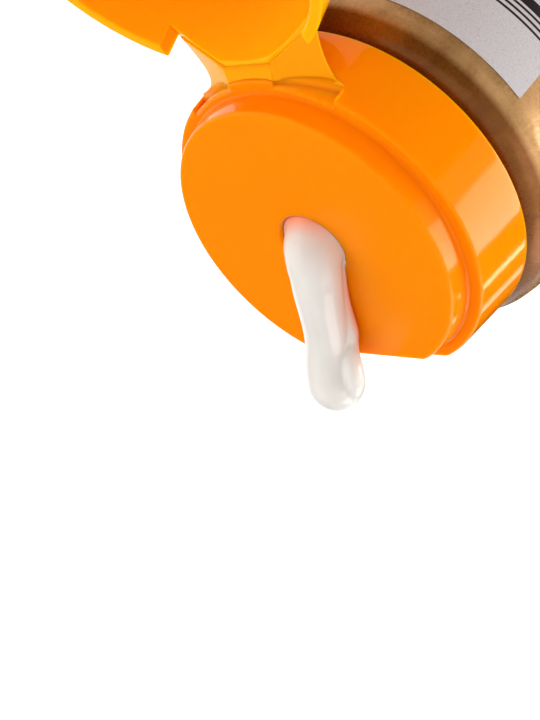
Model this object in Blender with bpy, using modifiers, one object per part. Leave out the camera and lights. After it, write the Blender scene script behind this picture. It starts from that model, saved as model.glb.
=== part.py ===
"""Flip-top sunscreen bottle, standing on its base with the hinged lid open and lotion running out.

Units are metres. +Z runs up the bottle's axis and the origin is the centre of its base.
The lid's hinge is at the back (+Y) and the thumb flat at the front (-Y).
"""

import math

import bmesh
import bpy
from mathutils import Matrix, Vector

# Running gap between pieces that lie on or in each other
CLEARANCE = 0.0003
# How far a cutter passes the face that it cuts
OVERRUN = 0.0010

# Bottle
BODY_RADIUS = 0.0191
BODY_HEIGHT = 0.1340
BODY_WALL = 0.0010
SHOULDER_FILLET = 0.0042
BASE_FILLET = 0.0030
BASE_THICKNESS = 0.0016
BASE_PAD_RADIUS = 0.0055
BASE_RING_WIDTH = 0.0030
BASE_GROOVE_DEPTH = 0.0005
NECK_SETBACK = 0.0066
NECK_WALL = 0.0011
NECK_BEAD_DEPTH = 0.0008
NECK_BEAD_HEIGHT = 0.0012
NECK_EDGE = 0.0003

# Closure base: the skirt, the ledge that the lid shuts on, and the raised deck
CAP_RADIUS = 0.0175
LEDGE_SETBACK = 0.0006
SKIRT_HEIGHT = 0.0073
SKIRT_WALL = 0.0012
LEDGE_THICKNESS = 0.0014
LEDGE_EDGE = 0.0003
LEDGE_WIDTH = 0.0016
DECK_RISE = 0.0025
DECK_THICKNESS = 0.0013
DECK_EDGE = 0.0003
THUMB_FLAT_SETBACK = 0.00205
THUMB_RECESS_DEPTH = 0.0019
THUMB_RECESS_HEIGHT = 0.0050
THUMB_RECESS_SLOPE = 0.0012
THUMB_RECESS_WALL = 0.0011
ORIFICE_RADIUS = 0.0035
ORIFICE_LIP = 0.0005
SPOUT_WALL = 0.0011
SPOUT_LENGTH = 0.0046
COLLAR_WALL = 0.0011
COLLAR_FOOT_HEIGHT = 0.0008
HOOK_HEIGHT = 0.0010
SEAL_WALL = 0.0008
SEAL_DEPTH = 0.0020

# Hinge: the axis lies just outside the ledge, and the lid stands open by OPEN_ANGLE
HINGE_OFFSET = 0.0001
HINGE_DROP = 0.0004
OPEN_ANGLE = math.radians(165.5)
FILM_HALF_WIDTH = 0.0028
FILM_THICKNESS = 0.0003
FILM_HEIGHT = 0.0008
NOTCH_HALF_WIDTH = 0.0090
SKIRT_NOTCH_DEPTH = 0.0020
SKIRT_NOTCH_INSET = 0.0005
LID_NOTCH_DEPTH = 0.0025
PANEL_THICKNESS = 0.0005
PANEL_INNER_DISTANCE = 0.0043
PANEL_BOW_IN = 0.0013
PANEL_BOW_DOWN = 0.0004
PANEL_BOW_LEAN = 0.8

# Lid
LID_HEIGHT = 0.0096
LID_TAPER = 0.0009
LID_WALL = 0.00115
LID_TOP_THICKNESS = 0.0012
LID_EDGE = 0.0016
LID_CROWN = 0.0003
LID_RIM_EDGE = 0.0001
PLUG_WALL = 0.0013
PLUG_REACH = 0.0012
PLUG_TAPER = 0.0003

# Labels on the bottle's back and front
LABEL_SPAN = math.radians(143)
LABEL_THICKNESS = 0.00025
LABEL_TOP_MARGIN = 0.0042
LABEL_BASE_MARGIN = 0.0110

# Lotion in the bottle
LOTION_LEVEL = 0.0860
LOTION_EDGE = 0.0020

# Facets: sides of a full turn and steps of a fillet
TURN_STEPS = 48
SMALL_TURN_STEPS = 32
FILLET_STEPS = 4
LABEL_STEPS = 20
PANEL_STEPS = 8
PANEL_ROWS = 2

# The running lotion's centre line and radius, as shares of CAP_RADIUS: x and y from the axis, height over the deck
STREAM_SHARES = [
    (0.020, 0.020, -0.045, 0.150),
    (0.030, 0.020, 0.010, 0.158),
    (0.055, 0.005, 0.070, 0.166),
    (0.090, -0.040, 0.125, 0.163),
    (0.098, -0.120, 0.160, 0.156),
    (0.066, -0.230, 0.172, 0.150),
    (0.020, -0.370, 0.174, 0.147),
    (-0.022, -0.510, 0.176, 0.147),
    (-0.043, -0.640, 0.194, 0.152),
    (-0.054, -0.740, 0.218, 0.162),
    (-0.061, -0.820, 0.241, 0.150),
    (-0.065, -0.878, 0.258, 0.110),
    (-0.068, -0.906, 0.266, 0.062),
    (-0.069, -0.916, 0.269, 0.020),
]
STREAM_STEPS_BETWEEN = 3
STREAM_SIDES_RESOLUTION = 4

# Heights and radii that follow from the sizes above
LEDGE_RADIUS = CAP_RADIUS - LEDGE_SETBACK
DECK_RADIUS = LEDGE_RADIUS - LEDGE_WIDTH
THUMB_FLAT_DISTANCE = DECK_RADIUS - THUMB_FLAT_SETBACK
THUMB_RECESS_DISTANCE = LEDGE_RADIUS - THUMB_RECESS_DEPTH
LID_TOP_RADIUS = LEDGE_RADIUS - LID_TAPER
NECK_RADIUS = CAP_RADIUS - NECK_SETBACK
CAP_RIM_Z = BODY_HEIGHT + CLEARANCE
LEDGE_Z = CAP_RIM_Z + SKIRT_HEIGHT
LEDGE_UNDER_Z = LEDGE_Z - LEDGE_THICKNESS
DECK_Z = LEDGE_Z + DECK_RISE
DECK_UNDER_Z = DECK_Z - DECK_THICKNESS
NECK_TOP_Z = DECK_UNDER_Z - CLEARANCE
NECK_BORE = NECK_RADIUS - NECK_WALL
COLLAR_BORE = NECK_RADIUS + NECK_BEAD_DEPTH + CLEARANCE
COLLAR_RADIUS = COLLAR_BORE + COLLAR_WALL
HOOK_RADIUS = NECK_RADIUS + CLEARANCE
COLLAR_FOOT_Z = CAP_RIM_Z + COLLAR_FOOT_HEIGHT
BEAD_Z = COLLAR_FOOT_Z + HOOK_HEIGHT + CLEARANCE
SEAL_RADIUS = NECK_BORE - CLEARANCE
HINGE_Y = LEDGE_RADIUS + HINGE_OFFSET
HINGE_Z = LEDGE_Z - HINGE_DROP
LID_RIM_Z = LEDGE_Z + CLEARANCE
LID_TOP_Z = LID_RIM_Z + LID_HEIGHT
LID_CEILING_Z = LID_TOP_Z - LID_TOP_THICKNESS
PLUG_RADIUS = ORIFICE_RADIUS - CLEARANCE
LABEL_RADIUS = BODY_RADIUS + CLEARANCE
LABEL_TOP_Z = BODY_HEIGHT - LABEL_TOP_MARGIN
BODY_BORE = BODY_RADIUS - BODY_WALL


def clear_scene():
    """Removes whatever the file holds."""
    for old in list(bpy.data.objects):
        bpy.data.objects.remove(old, do_unlink=True)
    for old in list(bpy.data.collections):
        bpy.data.collections.remove(old)


def new_collection(name):
    """A collection linked to the scene."""
    collection = bpy.data.collections.new(name)
    bpy.context.scene.collection.children.link(collection)
    return collection


def plastic(name, colour, roughness):
    """A Principled material for a moulded, printed or liquid part."""
    material = bpy.data.materials.new(name)
    material.use_nodes = True
    shader = material.node_tree.nodes["Principled BSDF"]
    shader.inputs["Base Color"].default_value = (*colour, 1)
    shader.inputs["Roughness"].default_value = roughness
    shader.inputs["Metallic"].default_value = 0
    material.diffuse_color = (*colour, 1)
    return material


def add_object(name, data, collection, material=None):
    """An object of this mesh or curve, in its collection, with its material."""
    made = bpy.data.objects.new(name, data)
    collection.objects.link(made)
    if material is not None:
        data.materials.append(material)
    return made


def arc(centre_r, centre_z, radius, start, end, steps=FILLET_STEPS):
    """Points of a round corner in an outline. Angles are in degrees from +X towards +Z."""
    points = []
    for i in range(steps + 1):
        angle = math.radians(start + (end - start) * i / steps)
        points.append((centre_r + radius * math.cos(angle), centre_z + radius * math.sin(angle)))
    return points


def outline_mesh(name, outline, closed):
    """The outline's edges in the XZ plane."""
    shape = bmesh.new()
    verts = [shape.verts.new((r, 0, z)) for r, z in outline]
    for first, second in zip(verts, verts[1:]):
        shape.edges.new((first, second))
    if closed:
        shape.edges.new((verts[-1], verts[0]))
    mesh = bpy.data.meshes.new(name)
    shape.to_mesh(mesh)
    shape.free()
    return mesh


def turned(name, outline, closed, collection, material=None, steps=TURN_STEPS, angle=2 * math.pi):
    """A piece turned about Z from an outline that runs down its outer side."""
    made = add_object(name, outline_mesh(name, outline, closed), collection, material)
    screw = made.modifiers.new("turn", "SCREW")
    screw.axis = "Z"
    screw.angle = angle
    screw.steps = steps
    screw.render_steps = steps
    screw.use_merge_vertices = True
    screw.merge_threshold = CLEARANCE / 100
    screw.use_normal_calculate = False
    return made


def prism(name, outline, y_low, y_high, collection):
    """A cutter: an outline in the XZ plane, extruded along Y."""
    shape = bmesh.new()
    face = shape.faces.new([shape.verts.new((x, y_low, z)) for x, z in outline])
    pushed = bmesh.ops.extrude_face_region(shape, geom=[face])
    far = [v for v in pushed["geom"] if isinstance(v, bmesh.types.BMVert)]
    bmesh.ops.translate(shape, verts=far, vec=(0, y_high - y_low, 0))
    bmesh.ops.recalc_face_normals(shape, faces=shape.faces)
    mesh = bpy.data.meshes.new(name)
    shape.to_mesh(mesh)
    shape.free()
    return as_cutter(add_object(name, mesh, collection))


def as_cutter(made):
    """Marks an object as one that only cuts others."""
    made.hide_render = True
    made.display_type = "WIRE"
    return made


def cut(piece, cutter):
    """Takes the cutter's shape out of the piece."""
    boolean = piece.modifiers.new(cutter.name, "BOOLEAN")
    boolean.operation = "DIFFERENCE"
    boolean.solver = "EXACT"
    boolean.object = cutter


def settle(piece, sharp_angle=math.radians(35)):
    """Applies the piece's modifiers and shades its round faces smooth."""
    bpy.context.view_layer.update()
    evaluated = piece.evaluated_get(bpy.context.evaluated_depsgraph_get())
    mesh = bpy.data.meshes.new_from_object(evaluated)
    mesh.name = piece.name
    piece.modifiers.clear()
    piece.data = mesh
    mesh.shade_smooth()
    mesh.set_sharp_from_angle(angle=sharp_angle)
    return piece


def bottle_outline():
    """Up the inside from the base's centre, over the neck, and down the outside."""
    inside = [(0, BASE_THICKNESS)]
    corner = BASE_FILLET - BODY_WALL
    inside += arc(BODY_BORE - corner, BASE_THICKNESS + corner, corner, -90, 0)
    bend = SHOULDER_FILLET - BODY_WALL
    inside += arc(BODY_BORE - bend, BODY_HEIGHT - SHOULDER_FILLET, bend, 0, 90)
    inside.append((NECK_BORE, BODY_HEIGHT - BODY_WALL))
    inside.append((NECK_BORE, NECK_TOP_Z))
    outside = arc(NECK_RADIUS - NECK_EDGE, NECK_TOP_Z - NECK_EDGE, NECK_EDGE, 90, 0, 2)
    bead_edge = NECK_RADIUS + NECK_BEAD_DEPTH
    bead_flat = NECK_BEAD_HEIGHT - NECK_BEAD_DEPTH
    outside.append((NECK_RADIUS, BEAD_Z + NECK_BEAD_HEIGHT + NECK_BEAD_DEPTH))
    outside.append((bead_edge, BEAD_Z + bead_flat))
    outside.append((bead_edge, BEAD_Z))
    outside.append((NECK_RADIUS, BEAD_Z))
    outside.append((NECK_RADIUS, BODY_HEIGHT))
    outside += arc(BODY_RADIUS - SHOULDER_FILLET, BODY_HEIGHT - SHOULDER_FILLET, SHOULDER_FILLET, 90, 0, 6)
    outside += arc(BODY_RADIUS - BASE_FILLET, BASE_FILLET, BASE_FILLET, 0, -90)
    ring_inner = BODY_RADIUS - BASE_FILLET - BASE_RING_WIDTH
    outside.append((ring_inner, 0))
    outside.append((ring_inner - BASE_GROOVE_DEPTH, BASE_GROOVE_DEPTH))
    outside.append((BASE_PAD_RADIUS + BASE_GROOVE_DEPTH, BASE_GROOVE_DEPTH))
    outside.append((BASE_PAD_RADIUS, 0))
    outside.append((0, 0))
    return inside + outside


def make_bottle(collection):
    """The blow-moulded body: a thin wall with a beaded neck that the closure is pushed onto."""
    pearl = plastic("pearl_plastic", (0.34, 0.17, 0.06), 0.35)
    return settle(turned("bottle_body", bottle_outline(), False, collection, pearl))


def cap_outline():
    """Across the deck and down the outside, then back up through the collar, seal and spout."""
    points = arc(ORIFICE_RADIUS + ORIFICE_LIP, DECK_Z - ORIFICE_LIP, ORIFICE_LIP, 180, 90, 3)
    points += arc(DECK_RADIUS - DECK_EDGE, DECK_Z - DECK_EDGE, DECK_EDGE, 90, 0)
    points.append((DECK_RADIUS, LEDGE_Z))
    points += arc(LEDGE_RADIUS - LEDGE_EDGE, LEDGE_Z - LEDGE_EDGE, LEDGE_EDGE, 90, 0, 3)
    points.append((CAP_RADIUS, CAP_RIM_Z))
    points.append((CAP_RADIUS - SKIRT_WALL, CAP_RIM_Z))
    points.append((LEDGE_RADIUS - SKIRT_WALL, LEDGE_UNDER_Z))
    points.append((COLLAR_RADIUS, LEDGE_UNDER_Z))
    points.append((COLLAR_RADIUS, COLLAR_FOOT_Z))
    hook_lead = COLLAR_BORE - HOOK_RADIUS
    points.append((COLLAR_BORE, COLLAR_FOOT_Z))
    points.append((HOOK_RADIUS, COLLAR_FOOT_Z + hook_lead))
    points.append((HOOK_RADIUS, COLLAR_FOOT_Z + HOOK_HEIGHT))
    points.append((COLLAR_BORE, COLLAR_FOOT_Z + HOOK_HEIGHT))
    points.append((COLLAR_BORE, DECK_UNDER_Z))
    points.append((SEAL_RADIUS, DECK_UNDER_Z))
    points.append((SEAL_RADIUS, DECK_UNDER_Z - SEAL_DEPTH))
    points.append((SEAL_RADIUS - SEAL_WALL, DECK_UNDER_Z - SEAL_DEPTH))
    points.append((SEAL_RADIUS - SEAL_WALL, DECK_UNDER_Z))
    points.append((ORIFICE_RADIUS + SPOUT_WALL, DECK_UNDER_Z))
    points.append((ORIFICE_RADIUS + SPOUT_WALL, DECK_Z - SPOUT_LENGTH))
    points.append((ORIFICE_RADIUS, DECK_Z - SPOUT_LENGTH))
    return points


def skirt_radius(height):
    """The skirt's outer radius at this height over its rim."""
    return CAP_RADIUS + (LEDGE_RADIUS - CAP_RADIUS) * height / SKIRT_HEIGHT


def add_thumb_recess(cap, cutters):
    """Sets the skirt's front back to a flat under the lid's rim, with a wall of its own behind it."""
    reach = CAP_RADIUS + OVERRUN
    floor_height = SKIRT_HEIGHT - THUMB_RECESS_HEIGHT
    low = floor_height - THUMB_RECESS_WALL
    high = LEDGE_UNDER_Z - CAP_RIM_Z + LEDGE_THICKNESS / 2
    low_radius = skirt_radius(low) - SKIRT_WALL / 2
    high_radius = skirt_radius(high) - SKIRT_WALL / 2
    backing = [
        (0, CAP_RIM_Z + high), (high_radius, CAP_RIM_Z + high), (low_radius, CAP_RIM_Z + low), (0, CAP_RIM_Z + low),
    ]
    wall = as_cutter(turned("thumb_recess_wall", backing, False, cutters))
    box = [(-reach, CAP_RIM_Z), (reach, CAP_RIM_Z), (reach, LEDGE_Z), (-reach, LEDGE_Z)]
    cut(wall, prism("thumb_recess_room", box, THUMB_RECESS_WALL - THUMB_RECESS_DISTANCE, reach, cutters))
    union = cap.modifiers.new("thumb_recess_wall", "BOOLEAN")
    union.operation = "UNION"
    union.solver = "EXACT"
    union.object = wall
    floor_z = CAP_RIM_Z + floor_height
    outline = [
        (-reach, floor_z),
        (-THUMB_RECESS_DISTANCE, floor_z + THUMB_RECESS_SLOPE),
        (-THUMB_RECESS_DISTANCE, LEDGE_Z + OVERRUN),
        (-reach, LEDGE_Z + OVERRUN),
    ]
    recess = prism("thumb_recess_cutter", outline, -reach, reach, cutters)
    recess.rotation_euler = (0, 0, math.pi / 2)
    cut(cap, recess)


def film_line_z(distance):
    """Height of the skirt's film line, which falls from the hinge film out to the notch's corner."""
    share = (distance - FILM_HALF_WIDTH) / (NOTCH_HALF_WIDTH - FILM_HALF_WIDTH)
    return HINGE_Z - share * (SKIRT_NOTCH_DEPTH - HINGE_DROP)


def lid_line_z(distance):
    """Height of the shut lid's film line, which rises from its rim out to the notch's corner."""
    share = (distance - FILM_HALF_WIDTH) / (NOTCH_HALF_WIDTH - FILM_HALF_WIDTH)
    return LID_RIM_Z + share * LID_NOTCH_DEPTH


def notch_cutters(name, side, cutters):
    """The wedge beside the hinge that is cut back for one panel, outside the ring that stays."""
    outline = [
        (side * FILM_HALF_WIDTH, film_line_z(FILM_HALF_WIDTH)),
        (side * NOTCH_HALF_WIDTH, film_line_z(NOTCH_HALF_WIDTH)),
        (side * NOTCH_HALF_WIDTH, LEDGE_Z + OVERRUN),
        (side * FILM_HALF_WIDTH, LEDGE_Z + OVERRUN),
    ]
    wedge = prism(name, outline, NOTCH_HALF_WIDTH, CAP_RADIUS + OVERRUN, cutters)
    ring = LEDGE_RADIUS - SKIRT_NOTCH_INSET
    core = [(0, LEDGE_Z + 2 * OVERRUN), (ring, LEDGE_Z + 2 * OVERRUN), (ring, CAP_RIM_Z), (0, CAP_RIM_Z)]
    kept = as_cutter(turned(name + "_kept", core, False, cutters))
    cut(wedge, kept)
    return wedge


def make_cap(collection, cutters, orange):
    """The closure's base: skirt, ledge, deck with its thumb flat, spout, hooked collar and neck seal."""
    cap = turned("cap_base", cap_outline(), True, collection, orange)
    add_thumb_recess(cap, cutters)
    reach = CAP_RADIUS + OVERRUN
    thumb = [(-reach, LEDGE_Z), (reach, LEDGE_Z), (reach, DECK_Z + OVERRUN), (-reach, DECK_Z + OVERRUN)]
    cut(cap, prism("thumb_flat_cutter", thumb, -reach, -THUMB_FLAT_DISTANCE, cutters))
    for side, word in ((1, "right"), (-1, "left")):
        cut(cap, notch_cutters("skirt_notch_" + word, side, cutters))
    return settle(cap)


def lid_outline():
    """The shut lid: down its outside from the top's centre, and back up its inside."""
    crown = LID_TOP_Z - LID_CROWN
    points = [(0, LID_TOP_Z)]
    points += arc(LID_TOP_RADIUS - LID_EDGE, crown - LID_EDGE, LID_EDGE, 90, 0)
    points += arc(LEDGE_RADIUS - LID_RIM_EDGE, LID_RIM_Z + LID_RIM_EDGE, LID_RIM_EDGE, 0, -90, 2)
    points.append((LEDGE_RADIUS - LID_WALL, LID_RIM_Z))
    inner_edge = LID_EDGE / 2
    points += arc(LID_TOP_RADIUS - LID_WALL - inner_edge, LID_CEILING_Z - inner_edge, inner_edge, 0, 90, 3)
    points.append((0, LID_CEILING_Z))
    return points


def make_lid(collection, cutters, orange, hinge):
    """The lid's shell, with the notches beside its hinge."""
    lid = turned("lid_shell", lid_outline(), False, collection, orange)
    for side, word in ((1, "right"), (-1, "left")):
        outline = [
            (side * FILM_HALF_WIDTH, LID_RIM_Z - OVERRUN),
            (side * NOTCH_HALF_WIDTH, LID_RIM_Z - OVERRUN),
            (side * NOTCH_HALF_WIDTH, lid_line_z(NOTCH_HALF_WIDTH)),
            (side * FILM_HALF_WIDTH, lid_line_z(FILM_HALF_WIDTH)),
        ]
        cut(lid, prism("lid_notch_" + word, outline, NOTCH_HALF_WIDTH, CAP_RADIUS + OVERRUN, cutters))
    return turn_with(settle(lid), hinge)


def turn_with(piece, hinge):
    """Hangs a piece that was made on the shut lid from the hinge's empty, so that it opens with it."""
    piece.parent = hinge
    piece.matrix_parent_inverse = Matrix.Translation((0, -HINGE_Y, -HINGE_Z))
    return piece


def make_plug(collection, orange, hinge):
    """The ring under the lid that closes the orifice."""
    top = LID_CEILING_Z - CLEARANCE
    tip = DECK_Z - PLUG_REACH
    outline = [
        (PLUG_RADIUS, top),
        (PLUG_RADIUS, tip + PLUG_TAPER),
        (PLUG_RADIUS - PLUG_TAPER, tip),
        (PLUG_RADIUS - PLUG_WALL, tip),
        (PLUG_RADIUS - PLUG_WALL, top),
    ]
    plug = turned("lid_plug", outline, True, collection, orange, SMALL_TURN_STEPS)
    return turn_with(settle(plug), hinge)


def opened(point):
    """Where a point of the shut lid lies when the lid stands open."""
    turn = Matrix.Rotation(-OPEN_ANGLE, 3, "X")
    pivot = Vector((0, HINGE_Y, HINGE_Z))
    return turn @ (Vector(point) - pivot) + pivot


def on_circle(radius, distance):
    """How far back a circle lies at this distance beside the middle."""
    return math.sqrt(radius**2 - distance**2)


def panel_corners(side, distance):
    """Where a panel meets the skirt and the open lid at this distance beside the middle, clear of both."""
    clear = CLEARANCE + PANEL_THICKNESS / 2
    low_z = film_line_z(distance)
    low_y = on_circle(skirt_radius(low_z - CAP_RIM_Z), distance) + clear
    high = opened((side * distance, on_circle(LEDGE_RADIUS, distance) + clear, lid_line_z(distance)))
    return Vector((side * distance, low_y, low_z)), high


def panel_point(side, row_share, step_share):
    """A point of the panel's middle surface, from the middle (0) to the free edge (1) and skirt (0) to lid (1)."""
    inner = panel_corners(side, PANEL_INNER_DISTANCE)
    outer = panel_corners(side, NOTCH_HALF_WIDTH)
    free = outer[0].lerp(outer[1], step_share)
    bend = 4 * step_share * (1 - step_share) * (1 + PANEL_BOW_LEAN * (1 - 2 * step_share))
    free += bend * Vector((-side * PANEL_BOW_IN, 0, -PANEL_BOW_DOWN))
    return inner[0].lerp(inner[1], step_share).lerp(free, row_share)


def make_panel(side, word, collection, orange):
    """One wing of the butterfly hinge: a thin bowed gusset from the skirt's notch to the open lid's notch."""
    shape = bmesh.new()
    rows = []
    for i in range(PANEL_ROWS + 1):
        places = [panel_point(side, i / PANEL_ROWS, j / PANEL_STEPS) for j in range(PANEL_STEPS + 1)]
        rows.append([shape.verts.new(place) for place in places])
    for near, far in zip(rows, rows[1:]):
        for j in range(PANEL_STEPS):
            shape.faces.new((near[j], near[j + 1], far[j + 1], far[j]))
    mesh = bpy.data.meshes.new("hinge_panel_" + word)
    shape.to_mesh(mesh)
    shape.free()
    panel = add_object("hinge_panel_" + word, mesh, collection, orange)
    skin = panel.modifiers.new("thickness", "SOLIDIFY")
    skin.thickness = PANEL_THICKNESS
    skin.offset = 0
    return settle(panel)


def make_film(collection, orange):
    """The living hinge in the middle, a thin strip between the ledge and the open lid's rim."""
    shape = bmesh.new()
    bmesh.ops.create_cube(shape, size=1)
    width = 2 * (FILM_HALF_WIDTH - CLEARANCE)
    bmesh.ops.scale(shape, verts=shape.verts, vec=(width, FILM_THICKNESS, FILM_HEIGHT))
    mesh = bpy.data.meshes.new("hinge_film")
    shape.to_mesh(mesh)
    shape.free()
    film = add_object("hinge_film", mesh, collection, orange)
    film.location = (0, HINGE_Y + CLEARANCE + FILM_THICKNESS / 2, HINGE_Z + CLEARANCE / 2)
    return film


def make_label(name, facing, collection):
    """A paper-thin label wrapped on the bottle, centred on an azimuth."""
    white = plastic(name + "_stock", (0.52, 0.48, 0.48), 0.55)
    outline = [(LABEL_RADIUS, LABEL_TOP_Z), (LABEL_RADIUS, LABEL_BASE_MARGIN)]
    label = turned(name, outline, False, collection, white, LABEL_STEPS, LABEL_SPAN)
    label.rotation_euler = (0, 0, facing - LABEL_SPAN / 2)
    wall = label.modifiers.new("thickness", "SOLIDIFY")
    wall.thickness = LABEL_THICKNESS
    wall.offset = 1
    return settle(label)


def make_lotion(collection, cream):
    """What is left in the bottle."""
    radius = BODY_BORE - CLEARANCE
    floor = BASE_THICKNESS + CLEARANCE
    outline = [(0, LOTION_LEVEL), (radius, LOTION_LEVEL)]
    outline += arc(radius - LOTION_EDGE, floor + LOTION_EDGE, LOTION_EDGE, 0, -90)
    outline.append((0, floor))
    return settle(turned("lotion_fill", outline, False, collection, cream))


def smooth_path(points, steps):
    """Points of a smooth curve through the given ones, each with its radius."""
    vectors = [Vector(p) for p in points]
    ends = [2 * vectors[0] - vectors[1]] + vectors + [2 * vectors[-1] - vectors[-2]]
    path = []
    for i in range(1, len(ends) - 2):
        before, here, there, after = ends[i - 1 : i + 3]
        for k in range(steps):
            t = k / steps
            bend = 2 * here + (there - before) * t
            bend += (2 * before - 5 * here + 4 * there - after) * t**2
            bend += (3 * here - before - 3 * there + after) * t**3
            path.append(bend / 2)
    path.append(vectors[-1])
    return path


def make_stream(collection, cream):
    """Lotion that has run out of the orifice and over the deck's thumb flat."""
    places = []
    for x, y, height, radius in STREAM_SHARES:
        places.append((x * CAP_RADIUS, y * CAP_RADIUS, DECK_Z + height * CAP_RADIUS, radius * CAP_RADIUS))
    path = smooth_path(places, STREAM_STEPS_BETWEEN)
    curve = bpy.data.curves.new("lotion_stream", "CURVE")
    curve.dimensions = "3D"
    curve.bevel_depth = CAP_RADIUS
    curve.bevel_resolution = STREAM_SIDES_RESOLUTION
    curve.use_fill_caps = True
    spline = curve.splines.new("POLY")
    spline.points.add(len(path) - 1)
    for point, place in zip(spline.points, path):
        point.co = (*place[:3], 1)
        point.radius = place[3] / CAP_RADIUS
    return add_object("lotion_stream", curve, collection, cream)


def main():
    clear_scene()
    bottle = new_collection("sunscreen_bottle")
    cutters = new_collection("cutters")
    orange = plastic("orange_plastic", (1.0, 0.26, 0.0), 0.25)
    cream = plastic("lotion", (0.88, 0.85, 0.82), 0.3)
    hinge = bpy.data.objects.new("lid_hinge_axis", None)
    bottle.objects.link(hinge)
    hinge.location = (0, HINGE_Y, HINGE_Z)
    hinge.rotation_euler = (-OPEN_ANGLE, 0, 0)
    make_bottle(bottle)
    make_cap(bottle, cutters, orange)
    make_lid(bottle, cutters, orange, hinge)
    make_plug(bottle, orange, hinge)
    make_film(bottle, orange)
    for side, word in ((1, "right"), (-1, "left")):
        make_panel(side, word, bottle, orange)
    make_label("back_label", math.pi / 2, bottle)
    make_label("front_label", -math.pi / 2, bottle)
    make_lotion(bottle, cream)
    make_stream(bottle, cream)


main()
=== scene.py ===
# %% [markdown]
# # A lotion bottle with its flip-top lid open
# This lesson dresses a plain CAD model of a lotion bottle. The real thing is a blow-moulded, pearly
# brown bottle with an orange closure pushed onto its neck. The lid hangs on a butterfly hinge, and
# white lotion runs out of the orifice. Each cell makes one piece or one finish and prints what it
# made.

# %% Load the frame
import math

import bmesh
import bpy
from mathutils import Matrix, Vector


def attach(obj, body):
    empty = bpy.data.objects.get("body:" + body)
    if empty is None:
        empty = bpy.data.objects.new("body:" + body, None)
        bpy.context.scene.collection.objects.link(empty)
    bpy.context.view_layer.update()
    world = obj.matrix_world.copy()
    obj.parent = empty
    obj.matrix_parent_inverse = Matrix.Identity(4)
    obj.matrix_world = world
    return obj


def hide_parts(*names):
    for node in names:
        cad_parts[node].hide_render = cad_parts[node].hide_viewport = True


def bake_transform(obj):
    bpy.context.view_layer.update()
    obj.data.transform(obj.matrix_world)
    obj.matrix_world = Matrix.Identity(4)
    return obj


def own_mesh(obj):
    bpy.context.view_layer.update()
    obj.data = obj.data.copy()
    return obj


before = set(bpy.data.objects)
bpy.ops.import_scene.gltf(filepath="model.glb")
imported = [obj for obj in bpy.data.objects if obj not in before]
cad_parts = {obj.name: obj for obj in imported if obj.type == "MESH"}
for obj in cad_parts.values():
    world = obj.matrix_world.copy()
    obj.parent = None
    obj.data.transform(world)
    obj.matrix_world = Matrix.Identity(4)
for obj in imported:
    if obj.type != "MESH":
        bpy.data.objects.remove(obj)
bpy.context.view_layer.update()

# %% [markdown]
# ## Sizes
# The object's sizes are written in millimetres and turned to metres once. The heights stack up from
# the bottle's base, as on the drawing: the body, the skirt, the ledge that the lid shuts on, the
# deck, and the shut lid's rim and top. Whatever else a piece needs stands in its own cell.

# %% Sizes
MM = 0.001
BODY_RADIUS = 19.1 * MM
BODY_TOP = 134.0 * MM
SKIRT_FOOT = 134.3 * MM
LEDGE = 141.6 * MM
LEDGE_RADIUS = 16.9 * MM
DECK = 144.1 * MM
LID_RIM = 141.9 * MM
LID_TOP = 151.5 * MM
print("closure from", SKIRT_FOOT / MM, "to", LID_TOP / MM, "mm when it is shut")

# %% [markdown]
# ## Camera
# The photo looks down at the closure from the right and behind, with the bottle tipped in the frame.
# The part stays upright here, so the camera is rolled instead: its three axes are written out.

# %% Camera
view = bpy.data.cameras.new("photo_view")
view.lens = 80
view.sensor_width = 36
view.clip_start = 0.005
camera = bpy.data.objects.new("photo_view", view)
bpy.context.scene.collection.objects.link(camera)
view_right = Vector((0.70481312, -0.42783627, -0.5658574))
view_up = Vector((-0.07494649, 0.7482915, -0.65912279))
view_back = Vector((0.70542292, 0.50696741, 0.49534084))
stand = Matrix((view_right, view_up, view_back)).transposed().to_4x4()
stand.translation = (103.76654 * MM, 69.67244 * MM, 227.33377 * MM)
camera.matrix_world = stand
bpy.context.scene.camera = camera
print("camera", round(camera.location.length / MM), "mm from the base's centre")

# %% [markdown]
# ## Helpers for finishes
# Colours are read off as sRGB hex values, but a shader works in linear light, so one function turns
# them. Another joins a node's sockets to constants or to other nodes, a third adds a node, sets it
# up and joins it, and the last one starts a material. That keeps each finish short.


# %% Helpers for finishes
def paint(code):
    """A linear colour from an sRGB hex code."""
    shares = [int(code[i : i + 2], 16) / 255 for i in (1, 3, 5)]
    return (*[c / 12.92 if c <= 0.04045 else ((c + 0.055) / 1.055) ** 2.4 for c in shares], 1)


def join(tree, made, links):
    """Sets a node's sockets by name, each to a constant or to another node's output."""
    for socket, value in links.items():
        if isinstance(value, bpy.types.NodeSocket):
            tree.links.new(value, made.inputs[socket])
        else:
            made.inputs[socket].default_value = value


def node(tree, kind, links=None, **settings):
    """A new node of this kind, with its own settings by attribute and its sockets joined."""
    made = tree.nodes.new(kind)
    for name, value in settings.items():
        setattr(made, name, value)
    join(tree, made, links or {})
    return made


def finish(name):
    """A new material's node tree with its Principled shader and its Object coordinates."""
    material = bpy.data.materials.new(name)
    material.use_nodes = True
    tree = material.node_tree
    shader = tree.nodes["Principled BSDF"]
    place = node(tree, "ShaderNodeTexCoord").outputs["Object"]
    return material, tree, shader, place


print("helpers ready, mid grey is", round(paint("#808080")[0], 3))
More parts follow.
